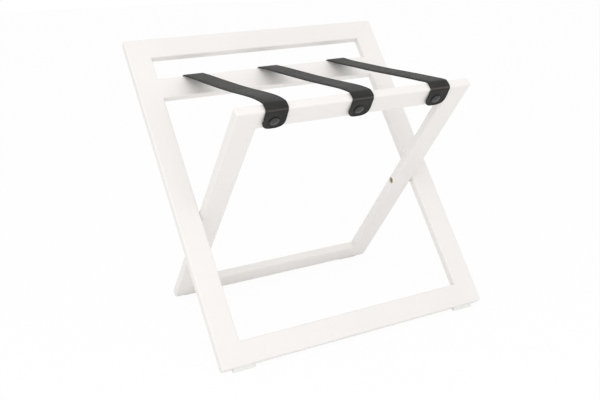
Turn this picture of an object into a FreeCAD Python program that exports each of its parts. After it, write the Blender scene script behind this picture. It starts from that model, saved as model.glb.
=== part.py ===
import FreeCAD, Part
import Sketcher
import math
import os
from types import SimpleNamespace

# Folding luggage bench. A tall outer frame leans back, a low inner frame leans forward between its
# stiles, and the two turn on one axis across the bench. Three straps join the strap rail to the seat rail.
#
# Each frame is drawn upright, in its own plane: X across, Y through the timber with the front at -Y,
# Z along the stiles, and the pivot axis through the origin. Its Placement then leans it and lifts it.

vector = FreeCAD.Vector
doc = FreeCAD.newDocument("LuggageBench")
near = 1e-6  # places closer than this are the same place

# Driving dimensions, in millimetres and degrees.
dimensions = (
    ("frameWidth", 600, "across the outer stiles"),
    ("timberThickness", 18, "both frames"),
    ("outerTop", 402.6, "pivot to the top of the outer frame"),
    ("outerFoot", 305.4, "pivot to the foot of the outer frame"),
    ("seatTop", 311.4, "pivot to the top of the seat rail"),
    ("outerLean", 38.2, "outer frame from upright, leaning back"),
    ("innerLean", 39.4, "inner frame from upright, leaning forward"),
    ("stileWidth", 49, "outer stiles"),
    ("topRailWidth", 46, "wall guard rail"),
    ("windowHeight", 49.5, "hand hold between top rail and strap rail"),
    ("strapRailWidth", 46, "rail that the straps end behind"),
    ("outerFootRail", 46.5, "width of the outer frame's foot rail"),
    ("legWidth", 48, "inner legs"),
    ("seatRailWidth", 46, "rail that the straps end in front of"),
    ("innerFootRail", 49, "width of the inner frame's foot rail"),
    ("outerArris", 3, "rounding of the outer frame's edges"),
    ("innerArris", 4, "rounding of the inner frame's edges"),
    ("sideGap", 2, "between the two frames, filled by a washer"),
    ("fitClearance", 0.05, "all round tenons, ribs, inserts and studs in their seats"),
    ("pivotClearance", 0.08, "radial, round the turning bolts"),
    ("endPlay", 0.1, "along the pivot axis, at washer faces and bolt heads"),
    ("tenonThickness", 6, "loose tenon of a corner joint"),
    ("tenonWidth", 26, "loose tenon of a corner joint"),
    ("tenonLength", 44, "half of it in the rail and half in the stile"),
    ("glueRoom", 1, "left at the ends of tenons, inserts, studs and ribs"),
    ("boltDiameter", 6, "pivot bolt"),
    ("boltGrip", 13, "length of bolt inside its insert"),
    ("boltChamfer", 0.6, "on the edge of the bolt's head"),
    ("boltHeadDiameter", 13, "pivot bolt"),
    ("boltHeadHeight", 4, "pivot bolt"),
    ("boltHeadRecess", 1.5, "head below the face of the leg"),
    ("headRoom", 0.5, "radial, round a sunk head"),
    ("socketDiameter", 5.8, "hexagon in the bolt head, across its corners"),
    ("socketDepth", 2.6, "hexagon in the bolt head"),
    ("insertDiameter", 10, "threaded insert in the outer stile"),
    ("insertLength", 15, "threaded insert in the outer stile"),
    ("washerDiameter", 20, "spacer between the frames"),
    ("strapWidth", 45, "straps"),
    ("strapThickness", 3, "straps"),
    ("strapInset", 5.5, "outer straps from the ends of the seat rail"),
    ("strapDrop", 43, "end of a strap below the top of its rail"),
    ("strapEndRadius", 17, "rounding of a strap's end"),
    ("strapGap", 0.3, "strap clear of the timber and of the studs"),
    ("strapSag", 3, "of the free span under its own weight"),
    ("studDrop", 25, "strap stud below the top of its rail"),
    ("studDiameter", 4, "shank of a strap stud"),
    ("studReach", 13, "strap stud into the timber"),
    ("studHead", 19, "domed head of a strap stud, across"),
    ("studHeadHeight", 4.2, "domed head of a strap stud"),
    ("studEdge", 1.8, "upright edge of the head, below its dome"),
    ("studFlat", 9, "flat crown of the head, across"),
    ("holeRoom", 0.5, "radial, round the stud in the strap"),
    ("glideLength", 46, "along the foot rail"),
    ("glideInset", 23, "from the side of its frame"),
    ("glideSetback", 5, "from the high edge of the timber's end"),
    ("glideFloorGap", 1, "low edge of the timber above the floor"),
    ("glideCorner", 1.5, "chamfer of a glide's upright corners"),
    ("ribThickness", 4, "rib of a glide, pressed into the timber"),
    ("ribHeight", 5, "rib of a glide, pressed into the timber"),
)


class Size:
    """A number together with the formula of the sheet's cells that gives it."""

    def __init__(self, number, text):
        self.number = number
        self.text = text

    def join(self, sign, other, number):
        text = other.text if isinstance(other, Size) else repr(other)
        return Size(number, "(%s %s %s)" % (self.text, sign, text))

    def __float__(self):
        return float(self.number)

    def __add__(self, other):
        return self.join("+", other, float(self) + float(other))

    def __sub__(self, other):
        return self.join("-", other, float(self) - float(other))

    def __mul__(self, other):
        return self.join("*", other, float(self) * float(other))

    def __truediv__(self, other):
        return self.join("/", other, float(self) / float(other))

    def __neg__(self):
        return self * -1

    def sine(self):
        return Size(math.sin(math.radians(self.number)), "sin(%s)" % self.text)

    def cosine(self):
        return Size(math.cos(math.radians(self.number)), "cos(%s)" % self.text)


sheet = doc.addObject("Spreadsheet::Sheet", "Sizes")
s = SimpleNamespace()
for row, (alias, number, note) in enumerate(dimensions, 1):
    sheet.set("A%d" % row, alias)
    sheet.set("B%d" % row, str(number))
    sheet.set("C%d" % row, note)
    sheet.setAlias("B%d" % row, alias)
    setattr(s, alias, Size(number, "Sizes." + alias))
doc.recompute()

# Places that several pieces share, in a frame's own plane.
zero = Size(0, "0")
halfTimber = s.timberThickness / 2
halfWidth = s.frameWidth / 2
halfOpening = halfWidth - s.stileWidth
innerHalf = halfOpening - s.sideGap
innerOpening = innerHalf - s.legWidth
windowTop = s.outerTop - s.topRailWidth
strapRailTop = windowTop - s.windowHeight
strapRailFoot = strapRailTop - s.strapRailWidth
outerFootTop = s.outerFootRail - s.outerFoot
seatRailFoot = s.seatTop - s.seatRailWidth
# The low edge of both frames' ends stands at one height above the floor.
lowEdge = s.outerFoot * s.outerLean.cosine() + halfTimber * s.outerLean.sine()
innerFoot = (lowEdge - halfTimber * s.innerLean.sine()) / s.innerLean.cosine()
innerFootTop = s.innerFootRail - innerFoot
pivotHeight = lowEdge + s.glideFloorGap
outerStrap = innerOpening - s.strapInset - s.strapWidth / 2
strapPlaces = {"left": -outerStrap, "centre": zero, "right": outerStrap}

sides = {"left": -1, "right": 1}
rightward, leftward, backward, forward, upward = (1, 0, 0), (-1, 0, 0), (0, 1, 0), (0, -1, 0), (0, 0, 1)
outward = {"left": leftward, "right": rightward}
# What the two frames differ in: the side of the low edge of their ends, and the turn about the pivot.
frames = {
    "outer": SimpleNamespace(lowSide=1, lean=s.outerLean, turn=-s.outerLean, half=halfWidth,
                             foot=s.outerFoot, arris=s.outerArris),
    "inner": SimpleNamespace(lowSide=-1, lean=s.innerLean, turn=s.innerLean, half=innerHalf,
                             foot=innerFoot, arris=s.innerArris),
    "straps": SimpleNamespace(turn=zero),
}
pieces = []


# ---- helpers ----

def place(x=zero, y=zero, z=zero, direction=upward):
    """Placement that turns +Z to a direction and moves the origin."""
    turn = FreeCAD.Rotation(vector(*upward), vector(*direction))
    return FreeCAD.Placement(vector(float(x), float(y), float(z)), turn)


def leaned(frame):
    """Placement that leans a frame about the pivot axis."""
    turn = FreeCAD.Rotation(vector(*rightward), float(frames[frame].turn))
    return FreeCAD.Placement(vector(), turn)


def keep(thing, label, frame, local=FreeCAD.Placement()):
    """Hand a finished piece over, with its frame and its place in that frame."""
    thing.Label = label
    pieces.append((thing, leaned(frame).multiply(local)))


def bind(thing, **sizes):
    """Tie properties to the sheet. A double underscore in a property's name stands for a dot."""
    for name, value in sizes.items():
        thing.setExpression(name.replace("__", "."), value.text)


def newBody(name):
    return doc.addObject("PartDesign::Body", name)


def sketchOn(body, plane):
    sketch = body.newObject("Sketcher::SketchObject", body.Name + "Sketch")
    support = [item for item in body.Origin.OriginFeatures if item.Role == plane][0]
    sketch.AttachmentSupport = [(support, "")]
    sketch.MapMode = "FlatFace"
    return sketch


def locate(sketch, kind, line, value, otherAxis):
    """Fix one coordinate of a line's first point from the sketch's origin."""
    if abs(float(value)) < near:
        sketch.addConstraint(Sketcher.Constraint("PointOnObject", line, 1, otherAxis))
        return
    ends = (-1, 1, line, 1) if float(value) > 0 else (line, 1, -1, 1)
    number = sketch.addConstraint(Sketcher.Constraint(kind, *ends, abs(float(value))))
    sketch.setExpression("Constraints[%d]" % number, (value if float(value) > 0 else -value).text)


def outline(sketch, points):
    """Closed outline through points, each a pair of sizes from the sketch's origin."""
    first = sketch.GeometryCount
    corners = [vector(float(x), float(y)) for x, y in points]
    for start, end in zip(corners, corners[1:] + corners[:1]):
        sketch.addGeometry(Part.LineSegment(start, end))
    for number, (x, y) in enumerate(points):
        following = first + (number + 1) % len(points)
        sketch.addConstraint(Sketcher.Constraint("Coincident", first + number, 2, following, 1))
        locate(sketch, "DistanceX", first + number, x, -2)
        locate(sketch, "DistanceY", first + number, y, -1)


def rectangle(half, low, high):
    return [(-half, low), (half, low), (half, high), (-half, high)]


def pad(body, sketch, length):
    feature = body.newObject("PartDesign::Pad", body.Name + "Pad")
    feature.Profile = sketch
    feature.SideType = "Symmetric"
    bind(feature, Length=length)
    doc.recompute()


def turned(name, points):
    """Body turned about its Z axis, from an outline of (radius, height)."""
    body = newBody(name)
    sketch = sketchOn(body, "XZ_Plane")
    outline(sketch, points)
    feature = body.newObject("PartDesign::Revolution", name + "Turn")
    feature.Profile = sketch
    feature.ReferenceAxis = (sketch, ["V_Axis"])
    doc.recompute()
    return body


def ring(name, bore, radius, low, high):
    return turned(name, [(bore, low), (radius, low), (radius, high), (bore, high)])


def dress(body, kind, chosen, **sizes):
    """Fillet or chamfer the edges whose two ends pass a test."""
    base = body.Tip
    names = ["Edge%d" % number for number, edge in enumerate(base.Shape.Edges, 1)
             if chosen(edge.Vertexes[0].Point, edge.Vertexes[-1].Point)]
    feature = body.newObject("PartDesign::" + kind, body.Name + kind)
    feature.Base = (base, names)
    bind(feature, **sizes)
    doc.recompute()


def cutFrom(body, kind, name, local=FreeCAD.Placement(), **sizes):
    """Primitive cut out of a body, at a place in it."""
    before = body.Tip.Shape.Volume
    feature = body.newObject("PartDesign::" + kind, name)
    feature.Placement = local
    bind(feature, **sizes)
    doc.recompute()
    if feature.Shape.Volume > before - 1:
        raise RuntimeError(name + " cuts nothing")
    return feature


def drill(name, radius, depth, x, y, z, direction):
    """Cylinder that bores a frame, from a point along a direction."""
    tool = doc.addObject("Part::Cylinder", name)
    tool.Placement.Rotation = FreeCAD.Rotation(vector(*upward), vector(*direction))
    bind(tool, Radius=radius, Height=depth, Placement__Base__x=x, Placement__Base__y=y, Placement__Base__z=z)
    return tool


def block(name, x, y, z):
    """Box between two places along each axis."""
    box = doc.addObject("Part::Box", name)
    bind(box, Length=x[1] - x[0], Width=y[1] - y[0], Height=z[1] - z[0])
    bind(box, Placement__Base__x=x[0], Placement__Base__y=y[0], Placement__Base__z=z[0])
    return box


def group(label, frame, master, tools, inset=FreeCAD.Placement()):
    """One node of equal pieces, a copy of the master in each of its bores or mortises."""
    copies = []
    for tool in tools:
        copy = master.Shape.copy()
        copy.Placement = tool.Placement.multiply(inset)
        copies.append(copy)
    feature = doc.addObject("Part::Feature", label)
    feature.Shape = Part.makeCompound(copies)
    keep(feature, label, frame)


# ---- frames ----

def frameBlank(name, half, foot, top, windows, arris):
    """A whole glued frame: one slab with its windows, its edges rounded after gluing."""
    body = newBody(name)
    sketch = sketchOn(body, "XZ_Plane")
    outline(sketch, rectangle(half, foot, top))
    for window in windows:
        outline(sketch, rectangle(*window))
    pad(body, sketch, s.timberThickness)
    inside = float(windows[0][0]) + near
    # The corners inside the windows stay square, where the rails meet the stiles.
    dress(body, "Fillet", lambda p, q: abs(p.y - q.y) < near or abs(p.x) > inside, Radius=arris)
    return body


def mortises(name, joint, foot, top):
    """Room for the loose tenon at each end of a rail, half in the rail and half in the stile."""
    reach = s.tenonLength / 2 + s.glueRoom
    thick = s.tenonThickness / 2 + s.fitClearance
    wide = s.tenonWidth / 2 + s.fitClearance
    middle = (foot + top) / 2
    return [block(side + name + "Mortise", (joint * sign - reach, joint * sign + reach), (-thick, thick),
                  (middle - wide, middle + wide)) for side, sign in sides.items()]


def studBores(name, railTop, y, direction):
    depth = s.studReach + s.glueRoom
    radius = s.studDiameter / 2 + s.fitClearance
    return [drill(where + name + "StudBore", radius, depth, x, y, railTop - s.studDrop, direction)
            for where, x in strapPlaces.items()]


def glideShape(frame):
    """Places in the timber's end: the glide's low and high edge, its rib, and the middle of its length."""
    low = (halfTimber - frame.arris) * frame.lowSide
    high = (s.glideSetback - halfTimber) * frame.lowSide
    return low, high, (low + high) / 2, frame.half - s.glideInset - s.glideLength / 2


def glideSlots(name):
    frame = frames[name]
    low, high, rib, middle = glideShape(frame)
    thick = s.ribThickness / 2 + s.fitClearance
    along = s.glideLength / 2 + s.fitClearance
    return [block(side + name + "GlideSlot", (middle * sign - along, middle * sign + along),
                  (rib - thick, rib + thick), (-frame.foot, -frame.foot + s.ribHeight + s.glueRoom))
            for side, sign in sides.items()]


def worked(name, blank, tools):
    """The blank with all its bores, mortises and slots cut."""
    gathered = doc.addObject("Part::Compound", name + "Cuts")
    gathered.Links = tools
    cut = doc.addObject("Part::Cut", name)
    cut.Base = blank
    cut.Tool = gathered
    return cut


def member(label, frame, whole, left, right, foot, top):
    """One length of timber: what the worked frame holds between two X and two Z."""
    piece = doc.addObject("Part::Common", label)
    piece.Base = whole
    piece.Tool = block(label + "Block", (left, right), (-halfTimber, halfTimber), (foot, top))
    keep(piece, label, frame)


outerBlank = frameBlank("outerBlank", halfWidth, -s.outerFoot, s.outerTop,
                        [(halfOpening, outerFootTop, strapRailFoot), (halfOpening, strapRailTop, windowTop)],
                        s.outerArris)
innerBlank = frameBlank("innerBlank", innerHalf, -innerFoot, s.seatTop,
                        [(innerOpening, innerFootTop, seatRailFoot)], s.innerArris)

outerMortises = mortises("Top", halfOpening, windowTop, s.outerTop)
outerMortises += mortises("Strap", halfOpening, strapRailFoot, strapRailTop)
outerMortises += mortises("OuterFoot", halfOpening, -s.outerFoot, outerFootTop)
innerMortises = mortises("Seat", innerOpening, seatRailFoot, s.seatTop)
innerMortises += mortises("InnerFoot", innerOpening, -innerFoot, innerFootTop)

rearStudBores = studBores("Rear", strapRailTop, halfTimber, forward)
frontStudBores = studBores("Front", s.seatTop, -halfTimber, backward)

# Each insert's bore opens in the inner face of its stile. The leg's bore and its sunk seat for the
# bolt's head open in the inner face of the leg.
insertBores = []
legBores = []
for side, sign in sides.items():
    insertBores.append(drill(side + "InsertBore", s.insertDiameter / 2 + s.fitClearance,
                             s.insertLength + s.glueRoom, halfOpening * sign, zero, zero, outward[side]))
    legBores.append(drill(side + "LegBore", s.boltDiameter / 2 + s.pivotClearance, s.legWidth,
                          innerOpening * sign, zero, zero, outward[side]))
    legBores.append(drill(side + "HeadSeat", s.boltHeadDiameter / 2 + s.headRoom,
                          s.boltHeadRecess + s.boltHeadHeight + s.endPlay,
                          innerOpening * sign, zero, zero, outward[side]))

outerFrame = worked("outerFrame", outerBlank,
                    outerMortises + rearStudBores + insertBores + glideSlots("outer"))
innerFrame = worked("innerFrame", innerBlank,
                    innerMortises + frontStudBores + legBores + glideSlots("inner"))

member("outer_left_stile", "outer", outerFrame, -halfWidth, -halfOpening, -s.outerFoot, s.outerTop)
member("outer_right_stile", "outer", outerFrame, halfOpening, halfWidth, -s.outerFoot, s.outerTop)
member("outer_top_rail", "outer", outerFrame, -halfOpening, halfOpening, windowTop, s.outerTop)
member("strap_rail", "outer", outerFrame, -halfOpening, halfOpening, strapRailFoot, strapRailTop)
member("outer_foot_rail", "outer", outerFrame, -halfOpening, halfOpening, -s.outerFoot, outerFootTop)
member("inner_left_leg", "inner", innerFrame, -innerHalf, -innerOpening, -innerFoot, s.seatTop)
member("inner_right_leg", "inner", innerFrame, innerOpening, innerHalf, -innerFoot, s.seatTop)
member("seat_rail", "inner", innerFrame, -innerOpening, innerOpening, seatRailFoot, s.seatTop)
member("inner_foot_rail", "inner", innerFrame, -innerOpening, innerOpening, -innerFoot, innerFootTop)

tenon = block("tenon", (zero, s.tenonLength), (zero, s.tenonThickness), (zero, s.tenonWidth))
doc.recompute()
inMortise = place(s.glueRoom, s.fitClearance, s.fitClearance)
group("outer_frame_tenons", "outer", tenon, outerMortises, inMortise)
group("inner_frame_tenons", "inner", tenon, innerMortises, inMortise)


# ---- pivots ----
# Heights are along the pivot axis from the inner face of a stile, outward.

boltHead = -(s.sideGap + s.legWidth - s.boltHeadRecess)
headRadius, shankRadius = s.boltHeadDiameter / 2, s.boltDiameter / 2
bolt = turned("bolt", [(zero, boltHead), (headRadius - s.boltChamfer, boltHead),
                       (headRadius, boltHead + s.boltChamfer), (headRadius, boltHead + s.boltHeadHeight),
                       (shankRadius, boltHead + s.boltHeadHeight), (shankRadius, s.boltGrip),
                       (zero, s.boltGrip)])
socket = cutFrom(bolt, "SubtractivePrism", "socket", place(z=boltHead),
                 Circumradius=s.socketDiameter / 2, Height=s.socketDepth)
insert = ring("insert", shankRadius + s.fitClearance, s.insertDiameter / 2, zero, s.insertLength)
washer = ring("washer", shankRadius + s.pivotClearance, s.washerDiameter / 2,
              s.endPlay - s.sideGap, -s.endPlay)
group("pivot_bolts", "outer", bolt, insertBores)
group("pivot_inserts", "outer", insert, insertBores)
group("pivot_washers", "outer", washer, insertBores)


# ---- straps ----

def arc(centre, radius, start, end):
    return Part.ArcOfCircle(Part.Circle(centre, vector(*upward), radius), start, end)


def strapOutline():
    """Side view of a strap: up behind the strap rail, over it, across with a little sag, over the seat
    rail and down its front. Both faces are lines and arcs about the rails' rounded edges. Y is drawn as
    x and Z as y, about the pivot."""
    half, thickness, gap = float(halfTimber), float(s.strapThickness), float(s.strapGap)
    rearTop, frontTop = float(strapRailTop), float(s.seatTop)
    rearArris, frontArris = float(s.outerArris), float(s.innerArris)

    def seenFromSide(frame, y, z):
        point = leaned(frame).multVec(vector(0, y, z))
        return vector(point.y, point.z)
    outerAngle = math.radians(float(frames["outer"].turn))
    innerAngle = math.radians(float(frames["inner"].turn))
    rearCorner = seenFromSide("outer", half - rearArris, rearTop - rearArris)
    rearFront = seenFromSide("outer", rearArris - half, rearTop - rearArris)
    frontBack = seenFromSide("inner", half - frontArris, frontTop - frontArris)
    frontCorner = seenFromSide("inner", frontArris - half, frontTop - frontArris)
    # The sagging span is an arc about a point far above, and touches the bends over both rails.
    bendRear = rearArris + gap + thickness / 2
    bendFront = frontArris + gap + thickness / 2
    chord = frontBack - rearFront
    sagRadius = chord.Length ** 2 / (8 * float(s.strapSag))
    toRear, toFront = sagRadius + bendRear, sagRadius + bendFront
    along = (chord.Length ** 2 + toRear ** 2 - toFront ** 2) / (2 * chord.Length)
    across = math.sqrt(toRear ** 2 - along ** 2)
    line = chord / chord.Length
    sagCentre = rearFront + line * along + vector(line.y, -line.x) * across
    rearTouch = math.atan2(sagCentre.y - rearFront.y, sagCentre.x - rearFront.x)
    frontTouch = math.atan2(sagCentre.y - frontBack.y, sagCentre.x - frontBack.x)
    overRear = outerAngle + math.pi / 2
    overFront = innerAngle + math.pi / 2
    shapes = []
    ends = []
    for lift in (-thickness / 2, thickness / 2):
        rear, front = bendRear + lift, bendFront + lift
        standOff = half + gap + thickness / 2 + lift
        rearEnd = seenFromSide("outer", standOff, rearTop - float(s.strapDrop))
        frontEnd = seenFromSide("inner", -standOff, frontTop - float(s.strapDrop))
        bends = [arc(rearCorner, rear, outerAngle, overRear), arc(rearFront, rear, overRear, rearTouch),
                 arc(frontBack, front, frontTouch, overFront),
                 arc(frontCorner, front, overFront, innerAngle + math.pi)]
        sag = arc(sagCentre, sagRadius - lift, frontTouch - math.pi, rearTouch - math.pi)
        runs = [(rearEnd, bends[0].StartPoint), (bends[0].EndPoint, bends[1].StartPoint),
                (bends[2].EndPoint, bends[3].StartPoint), (bends[3].EndPoint, frontEnd)]
        shapes += bends + [sag] + [Part.LineSegment(start, end) for start, end in runs]
        ends.append((rearEnd, frontEnd))
    shapes += [Part.LineSegment(lower, upper) for lower, upper in zip(*ends)]
    return shapes


def strap(where, x):
    body = newBody(where + "Strap")
    sketch = sketchOn(body, "YZ_Plane")
    sketch.addGeometry(strapOutline())
    pad(body, sketch, s.strapWidth)
    through = float(s.strapThickness)
    dress(body, "Fillet", lambda p, q: abs(p.x - q.x) < near and abs(p.distanceToPoint(q) - through) < near,
          Radius=s.strapEndRadius)
    start = halfTimber + s.strapGap - s.holeRoom
    hole = {"Radius": s.studDiameter / 2 + s.holeRoom, "Height": s.strapThickness + s.holeRoom * 2}
    rear = place(y=start, z=strapRailTop - s.studDrop, direction=backward)
    front = place(y=-start, z=s.seatTop - s.studDrop, direction=forward)
    cutFrom(body, "SubtractiveCylinder", where + "RearHole", leaned("outer").multiply(rear), **hole)
    cutFrom(body, "SubtractiveCylinder", where + "FrontHole", leaned("inner").multiply(front), **hole)
    keep(body, where + "_strap", "straps", place(x=x))


for where, x in strapPlaces.items():
    strap(where, x)

# A stud stands at height 0 on the timber's face, with its shank into the timber and its head outside.
headSeat = -(s.strapGap * 2 + s.strapThickness)
headTop = headSeat - s.studHeadHeight
studRadius, domeRadius = s.studDiameter / 2, s.studHead / 2
stud = turned("stud", [(zero, headTop), (s.studFlat / 2, headTop), (domeRadius, headSeat - s.studEdge),
                       (domeRadius, headSeat), (studRadius, headSeat), (studRadius, s.studReach),
                       (zero, s.studReach)])
group("rear_strap_studs", "outer", stud, rearStudBores)
group("front_strap_studs", "inner", stud, frontStudBores)


# ---- glides ----

def glide(name, side):
    """Wedge under the slanted end of the timber, level on the floor, with a rib pressed into the timber."""
    frame = frames[name]
    low, high, rib, middle = glideShape(frame)
    top = -frame.foot
    ribTop = top + s.ribHeight
    ribLow, ribHigh = (rib + s.ribThickness / 2 * sign * frame.lowSide for sign in (1, -1))

    def sole(y):
        """The point of the floor straight below a point of the timber's end."""
        drop = s.glideFloorGap + (halfTimber - y * frame.lowSide) * frame.lean.sine()
        return y + drop * frame.lean.sine() * frame.lowSide, top - drop * frame.lean.cosine()
    body = newBody(name + side.capitalize() + "Glide")
    sketch = sketchOn(body, "YZ_Plane")
    outline(sketch, [(high, top), (ribHigh, top), (ribHigh, ribTop), (ribLow, ribTop), (ribLow, top),
                     (low, top), sole(low), sole(high)])
    pad(body, sketch, s.glideLength)
    level = float(top) - near
    # Its four upright edges run from the timber's end to the floor.
    dress(body, "Chamfer", lambda p, q: abs(p.x - q.x) < near and (p.z > level) != (q.z > level),
          Size=s.glideCorner)
    keep(body, "%s_%s_glide" % (name, side), name, place(x=middle * sides[side]))


for name in ("outer", "inner"):
    for side in sides:
        glide(name, side)


# ---- stand the bench on the floor, check it and write it ----

def standAt(y):
    """Place every piece, with the pivot axis at its height and at a distance behind the origin."""
    for thing, local in pieces:
        thing.Placement = place(y=y, z=pivotHeight).multiply(local)
    doc.recompute()


doc.recompute()
standAt(0)
box = Part.makeCompound([thing.Shape for thing, local in pieces]).optimalBoundingBox(False, False)
pivotY = -(box.YMin + box.YMax) / 2
standAt(pivotY)

for thing in doc.Objects:
    if "Invalid" in thing.State or "Error" in thing.State:
        raise RuntimeError(thing.Name + " failed: " + str(thing.State))
for thing, local in pieces:
    if thing.Shape.isNull() or not thing.Shape.isValid() or not thing.Shape.Solids:
        raise RuntimeError(thing.Label + " has no valid solid")

os.makedirs("parts", exist_ok=True)
for thing, local in pieces:
    thing.Shape.exportStep("parts/%s.step" % thing.Label)

print("pivot axis at y %.3f, z %.3f mm" % (pivotY, float(pivotHeight)))
print("inner foot %.3f mm from the pivot" % float(innerFoot))
print("%d nodes, %d solids" % (len(pieces), sum(len(thing.Shape.Solids) for thing, local in pieces)))
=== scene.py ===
import bpy
import bmesh
import math
from mathutils import Matrix, Vector
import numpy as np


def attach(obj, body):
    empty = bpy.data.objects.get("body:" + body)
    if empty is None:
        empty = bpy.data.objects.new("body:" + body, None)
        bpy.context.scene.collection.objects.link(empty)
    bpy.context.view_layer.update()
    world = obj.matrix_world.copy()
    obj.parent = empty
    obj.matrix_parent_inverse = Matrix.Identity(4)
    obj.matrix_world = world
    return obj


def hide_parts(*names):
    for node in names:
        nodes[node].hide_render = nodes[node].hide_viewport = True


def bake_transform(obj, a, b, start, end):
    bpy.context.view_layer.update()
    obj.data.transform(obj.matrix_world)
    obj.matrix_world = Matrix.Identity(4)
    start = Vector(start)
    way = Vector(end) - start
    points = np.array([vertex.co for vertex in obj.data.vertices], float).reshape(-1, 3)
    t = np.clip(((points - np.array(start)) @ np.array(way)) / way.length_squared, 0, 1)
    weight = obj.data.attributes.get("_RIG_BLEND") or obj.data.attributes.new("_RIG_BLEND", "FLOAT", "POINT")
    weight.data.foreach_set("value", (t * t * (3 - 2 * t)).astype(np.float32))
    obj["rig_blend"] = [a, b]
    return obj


# Folding luggage bench: two lacquered beech frames on one pivot axis, three leather straps across the top.
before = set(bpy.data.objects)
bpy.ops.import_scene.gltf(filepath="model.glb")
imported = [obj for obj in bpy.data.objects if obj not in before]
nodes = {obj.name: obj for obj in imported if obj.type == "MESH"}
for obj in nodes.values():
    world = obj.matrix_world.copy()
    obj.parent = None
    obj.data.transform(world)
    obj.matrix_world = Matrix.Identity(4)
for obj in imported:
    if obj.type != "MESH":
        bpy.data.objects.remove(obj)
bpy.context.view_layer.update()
print("frame loaded,", len(nodes), "nodes")

millimetre = 0.001
tiny = 1e-9  # keeps a division from failing where two points fall together
noiseLow, noiseHigh = 0.3, 0.7  # nearly all of a noise texture lies between these


def linear(colour):
    # a hex colour as linear light
    parts = [int(colour[i:i + 2], 16) / 255 for i in (1, 3, 5)]
    return [c / 12.92 if c <= 0.04045 else ((c + 0.055) / 1.055) ** 2.4 for c in parts] + [1.0]


def newMaterial(name):
    material = bpy.data.materials.new(name)
    material.use_nodes = True
    material.node_tree.nodes.clear()
    return material, material.node_tree


def addNode(tree, kind, settings):
    # a setting is a property, a socket's value, or a (node, output) pair that is linked to the socket;
    # properties are set first, because some of them change the sockets
    node = tree.nodes.new(kind)
    properties = [key for key in settings if isinstance(key, str) and key in node.bl_rna.properties]
    for key in properties:
        setattr(node, key, settings[key])
    for key, value in settings.items():
        if key in properties:
            continue
        if isinstance(value, tuple) and isinstance(value[0], bpy.types.Node):
            tree.links.new(value[0].outputs[value[1]], node.inputs[key])
        else:
            node.inputs[key].default_value = value
    return node


def perMillimetre(size):
    # texture scale that repeats once in a length given in millimetres
    return 1 / (size * millimetre)


def waveScale(size):
    # the same for a wave texture's rings, which turn through 20 radians per unit; its slanting bands come
    # out 1.15 times as wide
    return perMillimetre(size) * math.tau / 20


def paint(material, *names):
    # the finish of nodes that are shown as they come
    for name in names:
        for slot in nodes[name].material_slots:
            slot.material = material


def meshObject(name, mesh, material):
    mesh.polygons.foreach_set("use_smooth", [True] * len(mesh.polygons))
    mesh.materials.append(material)
    piece = bpy.data.objects.new(name, mesh)
    bpy.context.scene.collection.objects.link(piece)
    return piece


# How the two frames stand, in millimetres, and in degrees about X.
lean = {
    "pivot": (0, -24.276, 246.566),
    "outer": -38.2,
    "inner": 39.4,
    "halfTimber": 9,  # half the thickness of every rail and leg
    "strapRailTop": 307.1,  # from the pivot, along the frame
    "seatTop": 311.4,
    "outerRounding": 3,
    "innerRounding": 4,
    "studDrop": 25,
    "strapPlaces": {"left": -173, "centre": 0, "right": 173},
}


def leaned(which, x, y, z):
    # from a frame's own upright plane to the bench, in millimetres
    turn = Matrix.Rotation(math.radians(lean[which]), 3, "X")
    return turn @ Vector((x, y, z)) + Vector(lean["pivot"])


# A white acrylic lacquer, rubbed down and sprayed: an even off-white with a soft sheen, a trace of
# orange peel, and the beech grain just telling through it.

lacquer = {
    "light": "#F4F1EE",
    "shade": "#EFECE9",
    "roughness": (0.34, 0.44),
    "cloud": 110,  # mm, slow change of tone
    "peel": 2.6,  # mm, spray texture, drawn twice as coarse as it is so that it shows
    "peelDepth": 0.03,  # mm
    "grain": 1.6,  # mm, beech pores across the grain, drawn twice as coarse as they are
    "grainLength": 16,  # times as long as wide
    "grainDepth": 0.03,  # mm
    "grainShare": 0.35,  # how much of the tone follows the grain, beside the cloud
    "ior": 1.48,
}


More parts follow.
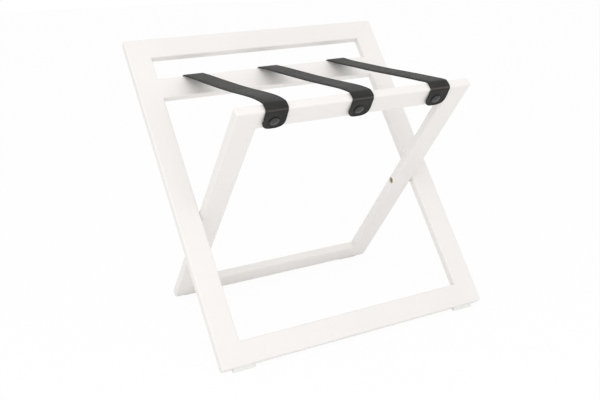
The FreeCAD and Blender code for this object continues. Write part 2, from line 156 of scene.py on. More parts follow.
def satinLacquer(name, turn, alongX):
    # the grain follows the timber, which leans by turn degrees
    material, tree = newMaterial(name)
    place = addNode(tree, "ShaderNodeTexCoord", {})
    upright = addNode(tree, "ShaderNodeMapping", {
        "Vector": (place, "Object"), "Rotation": (math.radians(-turn), 0, 0)})
    stretch = 1 / lacquer["grainLength"]
    along = addNode(tree, "ShaderNodeMapping", {
        "Vector": (upright, "Vector"), "Scale": (stretch, 1, 1) if alongX else (1, 1, stretch)})
    cloud = addNode(tree, "ShaderNodeTexNoise", {
        "Vector": (upright, "Vector"), "Scale": perMillimetre(lacquer["cloud"]), "Detail": 3})
    peel = addNode(tree, "ShaderNodeTexNoise", {
        "Vector": (upright, "Vector"), "Scale": perMillimetre(lacquer["peel"]), "Detail": 1.5})
    grain = addNode(tree, "ShaderNodeTexNoise", {
        "Vector": (along, "Vector"), "Scale": perMillimetre(lacquer["grain"]), "Detail": 3,
        "Roughness": 0.6})
    tone = addNode(tree, "ShaderNodeMath", {
        "operation": "MULTIPLY_ADD", 0: (grain, "Fac"), 1: lacquer["grainShare"], 2: (cloud, "Fac")})
    colour = addNode(tree, "ShaderNodeMix", {
        "data_type": "RGBA", "clamp_factor": True, 0: (tone, "Value"),
        6: linear(lacquer["light"]), 7: linear(lacquer["shade"])})
    low, high = lacquer["roughness"]
    gloss = addNode(tree, "ShaderNodeMapRange", {
        "Value": (cloud, "Fac"), "From Min": noiseLow, "From Max": noiseHigh,
        "To Min": low, "To Max": high})
    grainBump = addNode(tree, "ShaderNodeBump", {
        "Height": (grain, "Fac"), "Distance": lacquer["grainDepth"] * millimetre})
    peelBump = addNode(tree, "ShaderNodeBump", {
        "Height": (peel, "Fac"), "Distance": lacquer["peelDepth"] * millimetre,
        "Normal": (grainBump, "Normal")})
    surface = addNode(tree, "ShaderNodeBsdfPrincipled", {
        "Base Color": (colour, 2), "Roughness": (gloss, "Result"), "Normal": (peelBump, "Normal"),
        "IOR": lacquer["ior"]})
    addNode(tree, "ShaderNodeOutputMaterial", {"Surface": (surface, "BSDF")})
    return material


paint(satinLacquer("satinLacquerOuterStiles", lean["outer"], alongX=False),
      "outer_left_stile", "outer_right_stile")
paint(satinLacquer("satinLacquerOuterRails", lean["outer"], alongX=True),
      "outer_top_rail", "strap_rail", "outer_foot_rail")
paint(satinLacquer("satinLacquerInnerLegs", lean["inner"], alongX=False),
      "inner_left_leg", "inner_right_leg")
paint(satinLacquer("satinLacquerInnerRails", lean["inner"], alongX=True),
      "seat_rail", "inner_foot_rail")
print("frames lacquered")


# Steamed beech, planed: pinkish straw with fine darker growth lines and the short dark flecks of its rays.

beech = {
    "straw": "#D0AC80",
    "line": "#B58A5C",
    "fleck": "#8E6238",
    "growth": 2.2,  # mm between growth lines
    "growthDepth": 0.05,  # mm
    "squeeze": 0.06,  # how little the wood changes along its grain
    "fleckWidth": 0.5,  # mm, drawn as coarse as a large ray
    "fleckSpacing": 3,  # widths from one fleck to the next
    "fleckShare": 0.7,  # how far a fleck darkens the wood
    "roughness": 0.62,
}


def planedBeech():
    material, tree = newMaterial("planedBeech")
    place = addNode(tree, "ShaderNodeTexCoord", {})
    along = addNode(tree, "ShaderNodeMapping", {
        "Vector": (place, "Object"), "Scale": (beech["squeeze"], 1, 1)})
    growth = addNode(tree, "ShaderNodeTexNoise", {
        "Vector": (along, "Vector"), "Scale": perMillimetre(beech["growth"]), "Detail": 4})
    rays = addNode(tree, "ShaderNodeTexVoronoi", {
        "Vector": (along, "Vector"),
        "Scale": perMillimetre(beech["fleckWidth"] * beech["fleckSpacing"])})
    fleck = addNode(tree, "ShaderNodeMapRange", {
        "Value": (rays, "Distance"), "From Min": 0.1, "From Max": 0.22,
        "To Min": beech["fleckShare"], "To Max": 0})
    wood = addNode(tree, "ShaderNodeMix", {
        "data_type": "RGBA", 0: (growth, "Fac"), 6: linear(beech["straw"]), 7: linear(beech["line"])})
    colour = addNode(tree, "ShaderNodeMix", {
        "data_type": "RGBA", 0: (fleck, "Result"), 6: (wood, 2), 7: linear(beech["fleck"])})
    bump = addNode(tree, "ShaderNodeBump", {
        "Height": (growth, "Fac"), "Distance": beech["growthDepth"] * millimetre})
    surface = addNode(tree, "ShaderNodeBsdfPrincipled", {
        "Base Color": (colour, 2), "Roughness": beech["roughness"], "Normal": (bump, "Normal")})
    addNode(tree, "ShaderNodeOutputMaterial", {"Surface": (surface, "BSDF")})
    return material


paint(planedBeech(), "outer_frame_tenons", "inner_frame_tenons")


# Free-cutting brass, turned and left to dull: olive yellow with greyer patches, and fine rings from the
# tool.

brass = {
    "bright": "#CFC796",
    "dull": "#8F885F",
    "roughness": (0.38, 0.54),
    "feed": 0.5,  # mm between tool rings, drawn twice as coarse as they are so that they show
    "ringDepth": 0.02,  # mm
    "stain": 4,  # mm, patches that have dulled more
    "axis": (lean["pivot"][1] * millimetre, lean["pivot"][2] * millimetre),  # where the rings are centred
}


def turnedBrass():
    material, tree = newMaterial("turnedBrass")
    place = addNode(tree, "ShaderNodeTexCoord", {})
    centred = addNode(tree, "ShaderNodeVectorMath", {
        "operation": "SUBTRACT", 0: (place, "Object"), 1: (0, *brass["axis"])})
    rings = addNode(tree, "ShaderNodeTexWave", {
        "wave_type": "RINGS", "rings_direction": "X", "Vector": (centred, "Vector"),
        "Scale": waveScale(brass["feed"]), "Distortion": 0.4})
    stain = addNode(tree, "ShaderNodeTexNoise", {
        "Vector": (centred, "Vector"), "Scale": perMillimetre(brass["stain"]), "Detail": 3})
    colour = addNode(tree, "ShaderNodeMix", {
        "data_type": "RGBA", 0: (stain, "Fac"), 6: linear(brass["bright"]), 7: linear(brass["dull"])})
    low, high = brass["roughness"]
    gloss = addNode(tree, "ShaderNodeMapRange", {
        "Value": (stain, "Fac"), "From Min": noiseLow, "From Max": noiseHigh,
        "To Min": low, "To Max": high})
    bump = addNode(tree, "ShaderNodeBump", {
        "Height": (rings, "Fac"), "Distance": brass["ringDepth"] * millimetre})
    surface = addNode(tree, "ShaderNodeBsdfPrincipled", {
        "Base Color": (colour, 2), "Metallic": 1, "Roughness": (gloss, "Result"),
        "Normal": (bump, "Normal")})
    addNode(tree, "ShaderNodeOutputMaterial", {"Surface": (surface, "BSDF")})
    return material


paint(turnedBrass(), "pivot_bolts", "pivot_inserts")


# Nylon 6 and polyethylene from a spark-eroded mould, with a fine matt grain and a waxy sheen: milky white
# washers and glides, and studs that are coloured black through.

mouldSurface = {
    "cloud": 14,  # mm, slow change of tone
    "grainDepth": 0.03,  # mm
    "unevenness": 0.08,  # of the roughness, either way
}
moulded = {
    "washers": {"colour": "#ECEBE4", "shade": "#E2E0D8", "grain": 0.9, "roughness": 0.42, "ior": 1.53},
    "glides": {"colour": "#F0F0EE", "shade": "#E6E6E3", "grain": 1.1, "roughness": 0.5, "ior": 1.51},
    "studs": {"colour": "#2F3032", "shade": "#27282A", "grain": 0.8, "roughness": 0.4, "ior": 1.53},
}


def mouldedPlastic(name, look):
    material, tree = newMaterial(name)
    place = addNode(tree, "ShaderNodeTexCoord", {})
    grain = addNode(tree, "ShaderNodeTexNoise", {
        "Vector": (place, "Object"), "Scale": perMillimetre(look["grain"]), "Detail": 2})
    cloud = addNode(tree, "ShaderNodeTexNoise", {
        "Vector": (place, "Object"), "Scale": perMillimetre(mouldSurface["cloud"]), "Detail": 2})
    colour = addNode(tree, "ShaderNodeMix", {
        "data_type": "RGBA", 0: (cloud, "Fac"), 6: linear(look["colour"]), 7: linear(look["shade"])})
    gloss = addNode(tree, "ShaderNodeMapRange", {
        "Value": (grain, "Fac"), "To Min": look["roughness"] - mouldSurface["unevenness"],
        "To Max": look["roughness"] + mouldSurface["unevenness"]})
    bump = addNode(tree, "ShaderNodeBump", {
        "Height": (grain, "Fac"), "Distance": mouldSurface["grainDepth"] * millimetre})
    surface = addNode(tree, "ShaderNodeBsdfPrincipled", {
        "Base Color": (colour, 2), "Roughness": (gloss, "Result"), "Normal": (bump, "Normal"),
        "IOR": look["ior"]})
    addNode(tree, "ShaderNodeOutputMaterial", {"Surface": (surface, "BSDF")})
    return material


paint(mouldedPlastic("mouldedNylonWashers", moulded["washers"]), "pivot_washers")
paint(mouldedPlastic("mouldedPolyethyleneGlides", moulded["glides"]),
      "outer_left_glide", "outer_right_glide", "inner_left_glide", "inner_right_glide")
print("tenons, pivots and glides finished")


# Bridle leather, dyed black through and waxed: close grain, shallow creases across it, faint streaks along
# it where handling has polished it, a soft sheen that greys it at a flat angle, and a painted highlight
# along one fold.

leather = {
    "black": "#0F0E0D",
    "worn": "#1C1A18",
    "rubbed": "#4A4643",  # painted highlight along the crease over the seat rail's front edge
    "creaseRoughness": 0.36,
    "roughness": (0.55, 0.73),
    "cloud": 30,  # mm, patches that are worn more
    "streak": 1.2,  # mm across, where handling has polished the leather lengthwise
    "streakStretch": 0.12,  # how little a streak changes along the strap
    "streakShare": 0.35,  # how much of the wear is in streaks, beside the patches
    "wear": (0.4, 0.6),  # where it begins and is complete, on the pattern of patches and streaks
    "polish": 0.06,  # how much smoother the leather is where it is worn
    "grain": 1.5,  # mm, hair cells, drawn twice as coarse as they are so that they show
    "grainWave": 3,  # mm, how the rows of cells wander
    "grainWander": 0.0012,  # share of that pattern in the place of a cell
    "grainDepth": 0.16,  # mm
    "pull": 7,  # mm, shallow creases across the strap
    "pullStretch": 0.12,  # how little a crease changes across the strap
    "pullDepth": 0.25,  # mm
    "sheen": 0.02,
    "ior": 1.44,
}


def bridleLeather():
    material, tree = newMaterial("waxedBridleLeather")
    place = addNode(tree, "ShaderNodeTexCoord", {})
    bent = addNode(tree, "ShaderNodeTexNoise", {
        "Vector": (place, "Object"), "Scale": perMillimetre(leather["grainWave"]), "Detail": 2})
    waved = addNode(tree, "ShaderNodeMix", {
        "data_type": "VECTOR", 0: leather["grainWander"], 4: (place, "Object"), 5: (bent, "Color")})
    cells = addNode(tree, "ShaderNodeTexVoronoi", {
        "feature": "SMOOTH_F1", "Vector": (waved, 1), "Scale": perMillimetre(leather["grain"]),
        "Smoothness": 0.4})
    across = addNode(tree, "ShaderNodeMapping", {
        "Vector": (place, "Object"), "Scale": (leather["pullStretch"], 1, 1)})
    pull = addNode(tree, "ShaderNodeTexNoise", {
        "Vector": (across, "Vector"), "Scale": perMillimetre(leather["pull"]), "Detail": 3})
    cloud = addNode(tree, "ShaderNodeTexNoise", {
        "Vector": (place, "Object"), "Scale": perMillimetre(leather["cloud"]), "Detail": 4,
        "Roughness": 0.6})
    stretch = leather["streakStretch"]
    drawn = addNode(tree, "ShaderNodeMapping", {
        "Vector": (place, "Object"), "Scale": (1, stretch, stretch)})
    streak = addNode(tree, "ShaderNodeTexNoise", {
        "Vector": (drawn, "Vector"), "Scale": perMillimetre(leather["streak"]), "Detail": 3,
        "Roughness": 0.65})
    wear = addNode(tree, "ShaderNodeMix", {
        "data_type": "FLOAT", 0: leather["streakShare"], 2: (cloud, "Fac"), 3: (streak, "Fac")})
    begun, complete = leather["wear"]
    worn = addNode(tree, "ShaderNodeMapRange", {
        "Value": (wear, 0), "From Min": begun, "From Max": complete})
    dyed = addNode(tree, "ShaderNodeMix", {
        "data_type": "RGBA", 0: (worn, "Result"), 6: linear(leather["black"]), 7: linear(leather["worn"])})
    # painted highlight: the crease over the seat rail's front edge is painted paler; its lower roughness
    # there is real
    crease = addNode(tree, "ShaderNodeAttribute", {"attribute_name": "rubbed"})
    colour = addNode(tree, "ShaderNodeMix", {
        "data_type": "RGBA", 0: (crease, "Fac"), 6: (dyed, 2), 7: linear(leather["rubbed"])})
    low, high = leather["roughness"]
    matt = addNode(tree, "ShaderNodeMapRange", {
        "Value": (cells, "Distance"), "From Min": 0, "From Max": 0.8, "To Min": low, "To Max": high})
    waxed = addNode(tree, "ShaderNodeMath", {
        "operation": "MULTIPLY_ADD", 0: (worn, "Result"), 1: -leather["polish"], 2: (matt, "Result")})
    gloss = addNode(tree, "ShaderNodeMix", {
        "data_type": "FLOAT", 0: (crease, "Fac"), 2: (waxed, "Value"), 3: leather["creaseRoughness"]})
    pullBump = addNode(tree, "ShaderNodeBump", {
        "Height": (pull, "Fac"), "Distance": leather["pullDepth"] * millimetre})
    grainBump = addNode(tree, "ShaderNodeBump", {
        "Height": (cells, "Distance"), "Distance": leather["grainDepth"] * millimetre, "invert": True,
        "Normal": (pullBump, "Normal")})
    surface = addNode(tree, "ShaderNodeBsdfPrincipled", {
        "Base Color": (colour, 2), "Roughness": (gloss, 0), "Normal": (grainBump, "Normal"),
        "IOR": leather["ior"], "Sheen Weight": leather["sheen"], "Sheen Roughness": 0.5})
    addNode(tree, "ShaderNodeOutputMaterial", {"Surface": (surface, "BSDF")})
    return material


# Bonded nylon thread, waxed: dull black, with the ply's twist as slanting ridges, painted paler on the
# ridges and darker in the dips as painted highlight and shade.

stitching = {
    # painted shade in the dips and painted highlight on the ridges of the twist
    "paintedDipShade": "#1E1F20",
    "paintedRidgeHighlight": "#3B3C3E",
    "twist": 0.9,  # mm; drawn as slanting bands, so its ridges are 1.04 mm apart, and 1.8 along a stitch
    "twistDepth": 0.08,  # mm
    "roughness": 0.62,
    "ior": 1.53,
}


def bondedThread():
    material, tree = newMaterial("bondedNylonThread")
    place = addNode(tree, "ShaderNodeTexCoord", {})
    twist = addNode(tree, "ShaderNodeTexWave", {
        "Vector": (place, "Object"), "bands_direction": "DIAGONAL", "Scale": waveScale(stitching["twist"]),
        "Distortion": 0.5})
    # painted shade in the dips and painted highlight on the ridges, on the wave that also raises the bump
    colour = addNode(tree, "ShaderNodeMix", {
        "data_type": "RGBA", 0: (twist, "Fac"), 6: linear(stitching["paintedDipShade"]),
        7: linear(stitching["paintedRidgeHighlight"])})
    bump = addNode(tree, "ShaderNodeBump", {
        "Height": (twist, "Fac"), "Distance": stitching["twistDepth"] * millimetre})
    surface = addNode(tree, "ShaderNodeBsdfPrincipled", {
        "Base Color": (colour, 2), "Roughness": stitching["roughness"], "Normal": (bump, "Normal"),
        "IOR": stitching["ior"]})
    addNode(tree, "ShaderNodeOutputMaterial", {"Surface": (surface, "BSDF")})
    return material


# The straps' sizes, in millimetres.
strapShape = {
    "width": 45,
    "thickness": 3,
    "endRadius": 17,
    "drop": 43,  # end below the top of its rail
    "snug": 0.3,  # clear of the timber where it lies close
    "edgeRounding": 1.1,
    "crown": 0.12,  # the middle of the upper face above its edges
    "stitchInset": 4.2,  # row of stitches from the edge
    "grooveDepth": 0.45,
    "grooveReach": 1.3,  # from its middle to its edge
    "grooveShoulder": 0.7,  # from its middle to where it falls off
    "stitchPitch": 4.6,
    "stitchLength": 3.4,
    "stitchSlant": 0.16,  # sideways for each millimetre along, as a saddle stitch lies
    "threadWidth": 0.95,
    # the painted crease highlight is centred here and spreads over creaseWidth
    "crease": 44.3,  # from the front end, where the leather folds over the seat rail's front edge
    "creaseWidth": 1.3,
    "curl": 2.4,  # how far the front end's edges stand off the rail, beside the stud that holds its middle
    "curlDrops": (3, 24),  # below the seat rail's top, where the curl begins and is complete
    "curlFrom": 9,  # from the middle of the strap
}

# How fine the straps' meshes are.
strapMesh = {
    "step": 0.5,  # mm between points of the line that a strap follows
    "smoothing": 8,  # times that line is evened out
    "endPitch": 1.1,  # mm between cross rows in the rounded ends
    "spanPitch": 4.5,  # mm between cross rows elsewhere
    "bendPitch": 0.13,  # radians of bend between cross rows
    "cutPitch": 1.5,  # mm at least between a cut and the next cross row
    "columns": 8,  # faces from side to side, inside the innermost ring
    "innermostRing": 9,  # mm from the edge
    "undersideRing": 1.6,  # edge roundings from the edge
    "edgeAngles": (-60, -30, 0, 30, 60),  # degrees round the edge
    "threadSides": 6,
}

# How each strap lies, in millimetres: its height above a straight line between the rails at the shares of
# the free span, its clearance over the places on the seat rail's top, and how far its front end has crept
# aside.
spanShares = (0.1, 0.3, 0.5, 0.65, 0.8, 0.92)
overPlaces = (7, -0.5, -6.5)  # from the middle of the seat rail
strapLie = {
    "left": {"span": (0.5, 0.3, 0.5, 1.6, 3.7, 4.1), "over": (1.4, 2.3, 1.3), "creep": 0},
    "centre": {"span": (0.9, 0.8, 0.7, 1.2, 2.4, 3.0), "over": (1.2, 2.2, 1.3), "creep": 1.5},
    "right": {"span": (-1.6, -1.5, -1.4, -0.4, 0.4, 0.6), "over": (0.4, 0.8, 0.5), "creep": 1},
}

# How all straps pass the rails, from back to front: distances below the strap rail's top, angles in degrees
# round the rails' long edges, and distances below the seat rail's top with the clearance from the timber,
# which is least under the stud and grows to the flaring tip.
rearDrops = (33, 23, 13)
bends = {"railBack": (0, 30, 60, 90), "railFront": (90, 109), "seatFront": (134, 152, 170)}
frontDrops = ((9, 0.5), (14, 0.45), (20, 0.35), (28, 0.35), (33, 0.8), (38, 1.8), (strapShape["drop"], 3.2))

# The straps fold with the bench: their slack hangs down between the two rails. Each entry is a place on the
# span, in millimetres from front (-) to back (+), and how much of the fold the leather there has turned by.
strapTurns = ((156, 0), (144, 0.0265), (120, 0.0805), (70, 0.2085), (-120, 0.779), (-168, 0.9015),
              (-196, 0.9635), (-208, 1))


def aroundEdge(which, side, angle):
    # middle of leather that lies close round one long edge of a rail, seen from the side
    top, rounding = (lean["strapRailTop"], lean["outerRounding"]) if which == "outer" else (
        lean["seatTop"], lean["innerRounding"])
    reach = rounding + strapShape["snug"] + strapShape["thickness"] / 2
    a = math.radians(angle)
    return leaned(which, 0, side * (lean["halfTimber"] - rounding) + reach * math.cos(a),
                  top - rounding + reach * math.sin(a))


def strapCentreLine(lie):
    # middle of the leather seen from the side, from behind the strap rail to the front of the seat rail
    half, rise = lean["halfTimber"], strapShape["thickness"] / 2
    points = [leaned("outer", 0, half + strapShape["snug"] + rise, lean["strapRailTop"] - drop)
              for drop in (strapShape["drop"], *rearDrops)]
    points += [aroundEdge("outer", 1, angle) for angle in bends["railBack"]]
    points += [aroundEdge("outer", -1, angle) for angle in (*bends["railFront"], 90 - lean["outer"])]
    leave, land = points[-1], aroundEdge("inner", 1, 90 - lean["inner"])
    points += [leave.lerp(land, share) + Vector((0, 0, height))
               for share, height in zip(spanShares, lie["span"])]
    points += [leaned("inner", 0, y, lean["seatTop"] + clear + rise)
               for y, clear in zip(overPlaces, lie["over"])]
    points += [aroundEdge("inner", -1, angle) for angle in bends["seatFront"]]
    points += [leaned("inner", 0, -half - clear - rise, lean["seatTop"] - drop)
               for drop, clear in frontDrops]
    return points


def smoothLine(points):
    # a curve through the points, evened out, as (place, normal) pairs at even steps
    line = []
    for i in range(len(points) - 1):
        a, b = points[i], points[i + 1]
        before = points[i - 1] if i else a * 2 - b
        after = points[i + 2] if i + 2 < len(points) else b * 2 - a
        span = (b - a).length
        leave = (b - before) * (span / max((b - a).length + (a - before).length, tiny))
        arrive = (after - a) * (span / max((b - a).length + (after - b).length, tiny))
        count = max(2, round(span / strapMesh["step"]))
        for k in range(count):
            t = k / count
            line.append(a * (2 * t ** 3 - 3 * t ** 2 + 1) + leave * (t ** 3 - 2 * t ** 2 + t)
                        + b * (3 * t ** 2 - 2 * t ** 3) + arrive * (t ** 3 - t ** 2))
    line.append(points[-1])
    for _ in range(strapMesh["smoothing"]):
        middle = [(line[k - 1] + line[k] * 2 + line[k + 1]) / 4 for k in range(1, len(line) - 1)]
        line = [line[0]] + middle + [line[-1]]
    result = []
    for k, point in enumerate(line):
        way = line[min(k + 1, len(line) - 1)] - line[max(k - 1, 0)]
        way.normalize()
        result.append((point, Vector((0, way.z, -way.y))))
    return result


def strapStations(line):
    # where cross rows go: close together in the bends and at the rounded ends, wide apart on the span
    length = [0.0]
    for k in range(1, len(line)):
        length.append(length[-1] + (line[k][0] - line[k - 1][0]).length)
    total = length[-1]
    chosen, fill = [0], 0.0
    for k in range(1, len(line)):
        turn = line[k][1].angle(line[k - 1][1], 0)
        toEnd = min(length[k], total - length[k])
        pitch = strapMesh["endPitch"] if toEnd < strapShape["endRadius"] else strapMesh["spanPitch"]
        fill += (length[k] - length[k - 1]) / pitch + turn / strapMesh["bendPitch"]
        if fill >= 1 and k < len(line) - 1:
            chosen.append(k)
            fill = 0.0
    chosen.append(len(line) - 1)
    return [length[k] for k in chosen], length


def onStrap(line, length, distance):
    # place and normal at a distance along the strap
    distance = min(max(distance, 0), length[-1])
    low, high = 0, len(length) - 1
    while high - low > 1:
        middle = (low + high) // 2
        low, high = (middle, high) if length[middle] <= distance else (low, middle)
    share = (distance - length[low]) / max(length[high] - length[low], tiny)
    place = line[low][0].lerp(line[high][0], share)
    return place, line[low][1].lerp(line[high][1], share).normalized()


def eased(low, high, value):
    # from 0 below the low limit to 1 above the high one, smoothly
    share = min(max((value - low) / (high - low), 0), 1)
    return share * share * (3 - 2 * share)


def layStrap(where):
    # one strap's cross rows, the rows it is parted at, its length, and a function that places its points
    line = smoothLine(strapCentreLine(strapLie[where]))
    stations, length = strapStations(line)
    total = length[-1]
    # the strap is parted where it first comes as far forward as each turn's place, after its rear end
    cuts = [next(done for done, (place, normal) in zip(length, line)
                 if done > strapShape["drop"] and place.y <= behind) for behind, turned in strapTurns]
    clear = [done for done in stations if all(abs(done - cut) > strapMesh["cutPitch"] for cut in cuts)]
    stations = sorted(clear + cuts)

    def spot(along, across, height):
        place, normal = onStrap(line, length, along)
        drop = strapShape["drop"] - total + along
        curl = strapShape["curl"] * eased(*strapShape["curlDrops"], drop) * eased(
            strapShape["curlFrom"], strapShape["width"] / 2, abs(across))
        x = lean["strapPlaces"][where] + across + strapLie[where]["creep"] * along / total
        return (place + normal * (height + curl) + Vector((x, 0, 0))) * millimetre
    return stations, cuts, total, spot


def strapOutline(stations, total, inset):
    # the flat strap's outline drawn in by an inset, as (along, across) points: left side, front end,
    # right side, rear end; every inset gives as many points
    half = strapShape["width"] / 2 - inset
    full = strapShape["endRadius"]
    corner = full - inset
    columns = strapMesh["columns"]
    rows = []
    for station in stations:
        toEnd = min(station, total - station)
        # rows inside the rounded end slide along with the inset, so that rings stay even
        if toEnd < full:
            angle = math.acos(1 - toEnd / full)
            moved = inset + corner * (1 - math.cos(angle))
            across = half - corner + corner * math.sin(angle)
        else:
            moved, across = max(toEnd, inset + corner), half
        rows.append((moved if station <= total / 2 else total - moved, across))
    left = [(along, -across) for along, across in rows]
    right = [(along, across) for along, across in reversed(rows)]
    frontEnd = [(rows[-1][0], -rows[-1][1] + 2 * rows[-1][1] * k / columns) for k in range(1, columns)]
    rearEnd = [(rows[0][0], rows[0][1] - 2 * rows[0][1] * k / columns) for k in range(1, columns)]
    return left + frontEnd + right + rearEnd


def addLeather(build, stations, total, spot):
    # faces of the whole strap; every corner remembers how far along the strap it is, and how much painted
    # highlight it takes at the crease
    half, groove = strapShape["thickness"] / 2, strapShape["grooveDepth"]
    corner, stitchRow, crown = strapShape["edgeRounding"], strapShape["stitchInset"], strapShape["crown"]
    reach, shoulder = strapShape["grooveReach"], strapShape["grooveShoulder"]
    kept, rubbed = build.verts.layers.float["along"], build.verts.layers.float["rubbed"]

    def point(along, across, height):
        vert = build.verts.new(spot(along, across, height))
        vert[kept] = along
        # painted highlight: a narrow band across the strap where it folds over the seat rail's front edge
        vert[rubbed] = math.exp(-((total - along - strapShape["crease"]) / strapShape["creaseWidth"]) ** 2)
        return vert
    # rings from the middle of the underside, round the edge, to the middle of the upper side
    rings = [(strapMesh["innermostRing"], -half), (corner * strapMesh["undersideRing"], -half),
             (corner, -half)]
    for angle in strapMesh["edgeAngles"]:
        a = math.radians(angle)
        rings.append((corner * (1 - math.cos(a)), half * math.sin(a)))
    rings += [(corner, half), (stitchRow - reach, half + crown / 2),
              (stitchRow - shoulder, half - groove / 3), (stitchRow, half - groove),
              (stitchRow + shoulder, half - groove / 3), (stitchRow + reach, half + crown / 2),
              (strapMesh["innermostRing"], half + crown)]
    loops = []
    for inset, height in rings:
        flat = strapOutline(stations, total, inset)
        loops.append([point(along, across, height) for along, across in flat])
    count = len(loops[0])
    for low, high in zip(loops, loops[1:]):
        for k in range(count):
            n = (k + 1) % count
            build.faces.new((low[k], low[n], high[n], high[k]))
    # close the underside and the upper side with rows of faces from left to right
    rows, columns = len(stations), strapMesh["columns"]
    for ring, (inset, height) in ((loops[0], rings[0]), (loops[-1], rings[-1])):
        flat = strapOutline(stations, total, inset)
        grid = []
        for r in range(rows):
            leftVert, rightVert = ring[r], ring[rows + columns - 1 + (rows - 1 - r)]
            if r == rows - 1:
                between = ring[rows:rows + columns - 1]
            elif r == 0:
                between = list(reversed(ring[2 * rows + columns - 1:]))
            else:
                along, across = flat[r][0], -flat[r][1]
                between = [point(along, across * (2 * k / columns - 1), height) for k in range(1, columns)]
            grid.append([leftVert] + between + [rightVert])
        for lower, upper in zip(grid, grid[1:]):
            for k in range(columns):
                build.faces.new((lower[k], lower[k + 1], upper[k + 1], upper[k]))


# The hoops of a stitch: place, as a share of half its length; thickness, as a share of the thread's; and
# lift above the groove, in millimetres.
stitchHoops = ((-1, 0.35, -0.35), (-0.62, 0.85, 0.12), (0, 1, 0.25), (0.62, 0.85, 0.12), (1, 0.35, -0.35))


def addStitches(build, stations, total, spot):
    # one short spindle of thread for each stitch, lying in the groove all round the strap
    flat = strapOutline(stations, total, strapShape["stitchInset"])
    path = flat + flat[:1]
    travelled = [0.0]
    for a, b in zip(path, path[1:]):
        travelled.append(travelled[-1] + math.dist(a, b))
    count = round(travelled[-1] / strapShape["stitchPitch"])
    floor = strapShape["thickness"] / 2 - strapShape["grooveDepth"]
    kept = build.verts.layers.float["along"]
    sides = strapMesh["threadSides"]

    def onPath(distance):
        k = next(i for i in range(1, len(travelled)) if travelled[i] >= distance - tiny)
        share = (distance - travelled[k - 1]) / max(travelled[k] - travelled[k - 1], tiny)
        a, b = Vector(path[k - 1]), Vector(path[k])
        return a.lerp(b, share), (b - a).normalized()
    for i in range(count):
        middle, way = onPath((i + 0.5) / count * travelled[-1])
        sideways = Vector((-way.y, way.x))
        way = (way + sideways * strapShape["stitchSlant"]).normalized()
        sideways = Vector((-way.y, way.x))
        hoops = []
        for share, thick, lift in stitchHoops:
            centre = middle + way * (share * strapShape["stitchLength"] / 2)
            radius = thick * strapShape["threadWidth"] / 2
            hoop = []
            for k in range(sides):
                a = math.tau * k / sides
                along, across = centre + sideways * (math.cos(a) * radius)
                vert = build.verts.new(spot(along, across, floor + lift + math.sin(a) * radius))
                vert[kept] = middle.x
                hoop.append(vert)
            hoops.append(hoop)
        faces = [build.faces.new((low[k], low[(k + 1) % sides], high[(k + 1) % sides], high[k]))
                 for low, high in zip(hoops, hoops[1:]) for k in range(sides)]
        for face in faces + [build.faces.new(hoops[0]), build.faces.new(hoops[-1])]:
            face.material_index = 1  # thread


def turnPlace(share):
    # how far along a smooth turn from 0 to 1 the given share of it is reached
    return 0.5 - math.sin(math.asin(1 - 2 * share) / 3)


def strapPart(whole, name, low, high):
    # the faces of a strap between two distances along it, as a piece of their own
    part = whole.copy()
    kept = part.verts.layers.float["along"]
    away = [face for face in part.faces
            if not low <= sum(vert[kept] for vert in face.verts) / len(face.verts) < high]
    bmesh.ops.delete(part, geom=away, context="FACES")
    part.verts.layers.float.remove(kept)
    mesh = bpy.data.meshes.new(name)
    part.to_mesh(mesh)
    part.free()
    return mesh


def makeStrap(where, hide, thread):
    stations, cuts, total, spot = layStrap(where)
    whole = bmesh.new()
    whole.verts.layers.float.new("along")
    whole.verts.layers.float.new("rubbed")
    addLeather(whole, stations, total, spot)
    addStitches(whole, stations, total, spot)
    bmesh.ops.recalc_face_normals(whole, faces=whole.faces)
    ends = [0] + cuts + [total]
    for number, (low, high) in enumerate(zip(ends, ends[1:])):
        label = "rear_end" if number == 0 else "front_end" if high == total else "span_" + str(number)
        name = where + "_strap_" + label
        piece = meshObject(name, strapPart(whole, name, low, high), hide)
        piece.data.materials.append(thread)
        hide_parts(where + "_strap")
        if number == 0:
            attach(piece, "outer_frame")
        elif high == total:
            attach(piece, "inner_frame")
        else:
            (behind, turned), (before, turning) = strapTurns[number - 1:number + 1]
            first, last = turnPlace(turned), turnPlace(turning)
            reach = (behind - before) / (last - first)
            start = behind + first * reach
            # the turn is measured along the strap, at the height of the seat
            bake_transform(piece, "outer_frame", "inner_frame", start=(0, start * millimetre, 0.494),
                     end=(0, (start - reach) * millimetre, 0.494))
    whole.free()


hide, thread = bridleLeather(), bondedThread()
for where in strapLie:
    makeStrap(where, hide, thread)
print("straps cut and stitched")


studShape = {
    # radius and height above the timber's face, in millimetres, from the foot of the shank to the crown
    "profile": ((0, -13), (1.5, -13), (2, -12.2), (2, 3.6), (9.0, 3.6), (9.4, 3.75), (9.5, 4.1), (9.5, 4.8),
                (9.42, 5.25), (9.15, 5.6), (8.75, 5.85), (8.4, 5.95), (8.1, 6.12), (7.2, 6.5), (6, 6.9),
                (4.6, 7.25), (3.1, 7.5), (1.5, 7.64), (0, 7.7)),
    "segments": 56,
}


def studMesh(name, frameName, railTop, side):
    # three domed studs on the front (-1) or back (1) of a rail
    build = bmesh.new()
    for x in lean["strapPlaces"].values():
        rows = []
        for radius, height in studShape["profile"]:
            ring = []
            for k in range(studShape["segments"] if radius else 1):
                a = math.tau * k / studShape["segments"]
                spot = leaned(frameName, x + radius * math.cos(a), side * (lean["halfTimber"] + height),
                              railTop - lean["studDrop"] + radius * math.sin(a))
                ring.append(build.verts.new(spot * millimetre))
            rows.append(ring)
        for low, high in zip(rows, rows[1:]):
            for k in range(studShape["segments"]):
                n = (k + 1) % studShape["segments"]
                corners = [low[k % len(low)], low[n % len(low)], high[n % len(high)], high[k % len(high)]]
                build.faces.new(list(dict.fromkeys(corners)))
    bmesh.ops.recalc_face_normals(build, faces=build.faces)
    mesh = bpy.data.meshes.new(name)
    build.to_mesh(mesh)
    build.free()
    return mesh


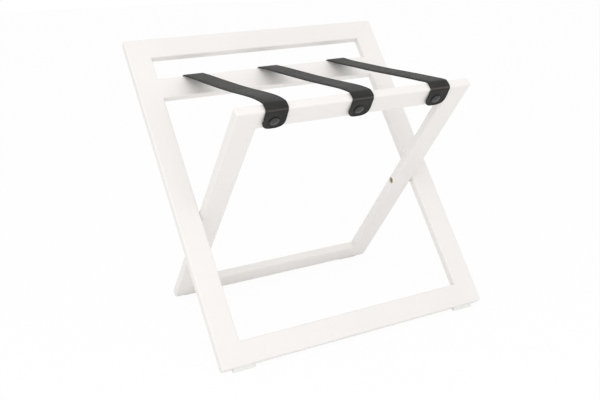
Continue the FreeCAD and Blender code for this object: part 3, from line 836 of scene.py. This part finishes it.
studNylon = mouldedPlastic("mouldedNylonStuds", moulded["studs"])
for name, frameName, railTop, side in (("rear_strap_studs", "outer", lean["strapRailTop"], 1),
                                       ("front_strap_studs", "inner", lean["seatTop"], -1)):
    studs = meshObject(name + "_domed", studMesh(name, frameName, railTop, side), studNylon)
    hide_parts(name)
    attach(studs, frameName + "_frame")
print("studs turned")


studio = {
    "floor": "#FBFBFB",
    "floorShown": 0.92,  # share of plain white that the camera sees in the floor; the rest takes the shadow
    "daylight": 0.85,
    "floorRadius": 9,  # metres
    "floorSides": 96,
    "key": {"place": (-1.1, -1.85, 2.15), "aim": (0, 0, 0.3), "size": 2.4, "power": 20.5},
}


def seenRays(tree):
    # 1 for the rays that show a background: straight from the camera, mirrored or seen through
    rays = addNode(tree, "ShaderNodeLightPath", {})
    direct = addNode(tree, "ShaderNodeMath", {
        "operation": "MAXIMUM", 0: (rays, "Is Camera Ray"), 1: (rays, "Is Glossy Ray")})
    return addNode(tree, "ShaderNodeMath", {
        "operation": "MAXIMUM", 0: (direct, "Value"), 1: (rays, "Is Transmission Ray")})


def matteFloor():
    # a painted studio floor, matt: it bounces light as it is and shows pale, with a soft shadow
    material, tree = newMaterial("mattFloorPaint")
    share = addNode(tree, "ShaderNodeMath", {
        "operation": "MULTIPLY", 0: (seenRays(tree), "Value"), 1: studio["floorShown"]})
    matt = addNode(tree, "ShaderNodeBsdfDiffuse", {"Color": linear(studio["floor"])})
    white = addNode(tree, "ShaderNodeEmission", {"Strength": 1})
    both = addNode(tree, "ShaderNodeMixShader", {
        0: (share, "Value"), 1: (matt, "BSDF"), 2: (white, "Emission")})
    addNode(tree, "ShaderNodeOutputMaterial", {"Surface": (both, "Shader")})
    return material


def floorMesh():
    build = bmesh.new()
    bmesh.ops.create_circle(build, cap_ends=True, segments=studio["floorSides"],
                            radius=studio["floorRadius"])
    mesh = bpy.data.meshes.new("studioFloor")
    build.to_mesh(mesh)
    build.free()
    return mesh


meshObject("studioFloor", floorMesh(), matteFloor())

world = bpy.data.worlds.new("studioDaylight")
world.use_nodes = True
world.node_tree.nodes.clear()
bpy.context.scene.world = world
white = linear("#FFFFFF")
around = addNode(world.node_tree, "ShaderNodeBackground", {"Color": white, "Strength": studio["daylight"]})
behind = addNode(world.node_tree, "ShaderNodeBackground", {"Color": white, "Strength": 1})
sky = addNode(world.node_tree, "ShaderNodeMixShader", {
    0: (seenRays(world.node_tree), "Value"), 1: (around, "Background"), 2: (behind, "Background")})
addNode(world.node_tree, "ShaderNodeOutputWorld", {"Surface": (sky, "Shader")})

key = studio["key"]
lamp = bpy.data.lights.new("keyLamp", "AREA")
lamp.shape = "DISK"
lamp.size = key["size"]
lamp.energy = key["power"]
lampObject = bpy.data.objects.new("keyLamp", lamp)
lampObject.location = key["place"]
beam = Vector(key["aim"]) - Vector(key["place"])
lampObject.rotation_euler = beam.to_track_quat("-Z", "Y").to_euler()
bpy.context.scene.collection.objects.link(lampObject)

cameraPlace = {
    "place": (-0.8122, -1.5152, 0.7686),
    "azimuth": -27.793,  # degrees
    "elevation": 17.398,
    "roll": -1.768,
    "focal": 848.84 / 600,  # in widths of the frame
    "sensor": 36,  # millimetres wide
}
bpy.context.scene.view_settings.view_transform = "Standard"
cameraData = bpy.data.cameras.new("studioCamera")
cameraData.sensor_fit = "HORIZONTAL"
cameraData.sensor_width = cameraPlace["sensor"]
cameraData.lens = cameraPlace["focal"] * cameraPlace["sensor"]
camera = bpy.data.objects.new("studioCamera", cameraData)
azimuth, elevation = math.radians(cameraPlace["azimuth"]), math.radians(cameraPlace["elevation"])
back = Vector((math.sin(azimuth) * math.cos(elevation), -math.cos(azimuth) * math.cos(elevation),
               math.sin(elevation)))
right = (-back).cross(Vector((0, 0, 1))).normalized()
upward = back.cross(right)
roll = Matrix.Rotation(math.radians(cameraPlace["roll"]), 3, back)
axes = Matrix((roll @ right, roll @ upward, back)).transposed().to_4x4()
camera.matrix_world = Matrix.Translation(cameraPlace["place"]) @ axes
bpy.context.scene.collection.objects.link(camera)
bpy.context.scene.camera = camera
print("studio set")
